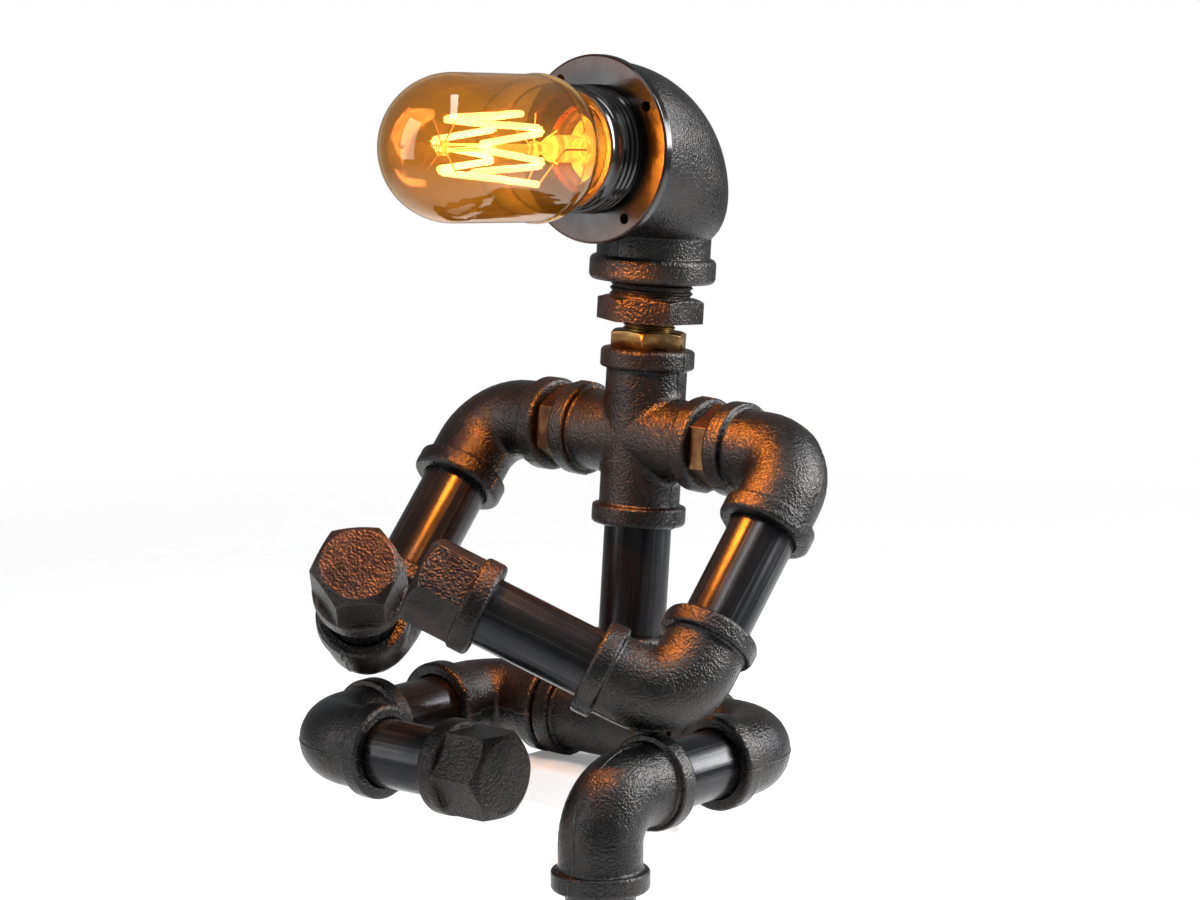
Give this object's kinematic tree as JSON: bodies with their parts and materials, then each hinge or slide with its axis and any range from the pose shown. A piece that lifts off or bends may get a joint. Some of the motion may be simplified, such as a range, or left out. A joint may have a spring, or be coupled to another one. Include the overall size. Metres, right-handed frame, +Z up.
{
  "type": "desk lamp",
  "caption": "Seated robot desk lamp made of threaded pipe fittings, with a head elbow that holds a tubular filament bulb and limbs that turn on their threads.",
  "frame": {"origin": "on the plane of the seat, straight under the middle of the tee that forms the pelvis", "axes": "+Z up, the lamp faces -Y, and its left side is +X"},
  "size_m": [0.1554, 0.1417, 0.2894],
  "materials": {
    "cast_iron": "satin",
    "rough_iron": "satin",
    "black_pipe": "satin",
    "brass": "satin",
    "ring": "gloss",
    "holder_black": "gloss",
    "holder_ceramic": "matte",
    "plated_metal": "satin",
    "wire": "matte",
    "white_plastic": "matte",
    "black_glass": "gloss",
    "amber_glass": "polished",
    "clear_glass": "polished",
    "filament": "matte",
    "support_wire": "satin"
  },
  "bodies": {
    "pelvis": {"pelvis_tee": "cast_iron", "hip_nipples": "black_pipe", "cord_grip": "brass", "cord_grip_screw": "brass", "terminal_block": "white_plastic"},
    "torso": {"spine_pipe": "black_pipe", "torso_cross": "cast_iron", "shoulder_nipples": "brass", "neck_nipple": "brass", "spine_wires": "wire"},
    "head": {"head_elbow": "cast_iron", "neck_bushing": "rough_iron", "shade_ring": "ring", "holder_skirt": "holder_black", "holder_dome": "holder_black", "holder_core": "holder_ceramic", "holder_screw_shell": "plated_metal", "holder_centre_contact": "brass", "holder_terminal_screws": "brass", "holder_entry_bush": "brass", "head_wires": "wire"},
    "bulb_base": {"bulb_contact": "brass", "bulb_insulator": "black_glass"},
    "bulb": {"bulb_cap": "plated_metal", "bulb_glass": "amber_glass", "bulb_stem": "clear_glass", "filament": "filament", "filament_hooks": "support_wire", "filament_leads": "support_wire"},
    "upper_arm_left": {"shoulder_elbow_left": "cast_iron", "upper_arm_pipe_left": "black_pipe"},
    "forearm_left": {"arm_elbow_left": "cast_iron", "forearm_pipe_left": "black_pipe", "hand_cap_left": "rough_iron"},
    "thigh_left": {"hip_elbow_left": "cast_iron", "thigh_pipe_left": "black_pipe"},
    "shin_left": {"knee_elbow_left": "cast_iron", "shin_pipe_left": "black_pipe", "foot_cap_left": "rough_iron"},
    "upper_arm_right": {"shoulder_elbow_right": "cast_iron", "upper_arm_pipe_right": "black_pipe"},
    "forearm_right": {"arm_elbow_right": "cast_iron", "forearm_pipe_right": "black_pipe", "hand_cap_right": "rough_iron"},
    "thigh_right": {"hip_elbow_right": "cast_iron", "thigh_pipe_right": "black_pipe"},
    "shin_right": {"knee_elbow_right": "cast_iron", "shin_pipe_right": "black_pipe", "foot_cap_right": "rough_iron"}
  },
  "joints": [
    {"name": "waist_turn", "type": "hinge", "parent": "pelvis", "child": "torso", "pos_m": [0, 0, 0.0149], "axis": [0, 0.0872, 0.9962], "range_deg": [-90, 90]},
    {"name": "head_turn", "type": "hinge", "parent": "torso", "child": "head", "pos_m": [0, 0.00793, 0.10555], "axis": [0, 0.0872, 0.9962], "range_deg": [-90, 90]},
    {"name": "shoulder_left", "type": "hinge", "parent": "torso", "child": "upper_arm_left", "pos_m": [0.0628, 0.00793, 0.10555], "axis": [-1, 0, 0], "range_deg": [0, 50]},
    {"name": "elbow_left", "type": "hinge", "parent": "upper_arm_left", "child": "forearm_left", "pos_m": [0.0628, -0.05355, 0.03846], "axis": [0, 0.6756, 0.7373], "range_deg": [-2, 150]},
    {"name": "hip_left", "type": "hinge", "parent": "pelvis", "child": "thigh_left", "pos_m": [0.057, 0, 0.0149], "axis": [1, 0, 0], "range_deg": [0, 90]},
    {"name": "knee_left", "type": "hinge", "parent": "thigh_left", "child": "shin_left", "pos_m": [0.057, -0.081, 0.0149], "axis": [0, -1, 0], "range_deg": [-50, 150]},
    {"name": "shoulder_right", "type": "hinge", "parent": "torso", "child": "upper_arm_right", "pos_m": [-0.0628, 0.00793, 0.10555], "axis": [-1, 0, 0], "range_deg": [0, 60]},
    {"name": "elbow_right", "type": "hinge", "parent": "upper_arm_right", "child": "forearm_right", "pos_m": [-0.0628, -0.05355, 0.03846], "axis": [0, -0.6756, -0.7373], "range_deg": [-5, 120]},
    {"name": "hip_right", "type": "hinge", "parent": "pelvis", "child": "thigh_right", "pos_m": [-0.057, 0, 0.0149], "axis": [1, 0, 0], "range_deg": [0, 90]},
    {"name": "knee_right", "type": "hinge", "parent": "thigh_right", "child": "shin_right", "pos_m": [-0.057, -0.081, 0.0149], "axis": [0, 1, 0], "range_deg": [-15, 150]},
    {"name": "bulb_travel", "type": "slide", "parent": "head", "child": "bulb_base", "axis": [0, -0.9962, 0.0872], "range_m": [0, 0.01815]},
    {"name": "bulb_turn", "type": "hinge", "parent": "bulb_base", "child": "bulb", "pos_m": [0, -0.01406, 0.19842], "axis": [0, -0.9962, 0.0872], "range_deg": [0, 1800]}
  ],
  "couplings": [
    {"joint": "bulb_travel", "follows": "bulb_turn", "m_per_rad": 0.00057757}
  ]
}
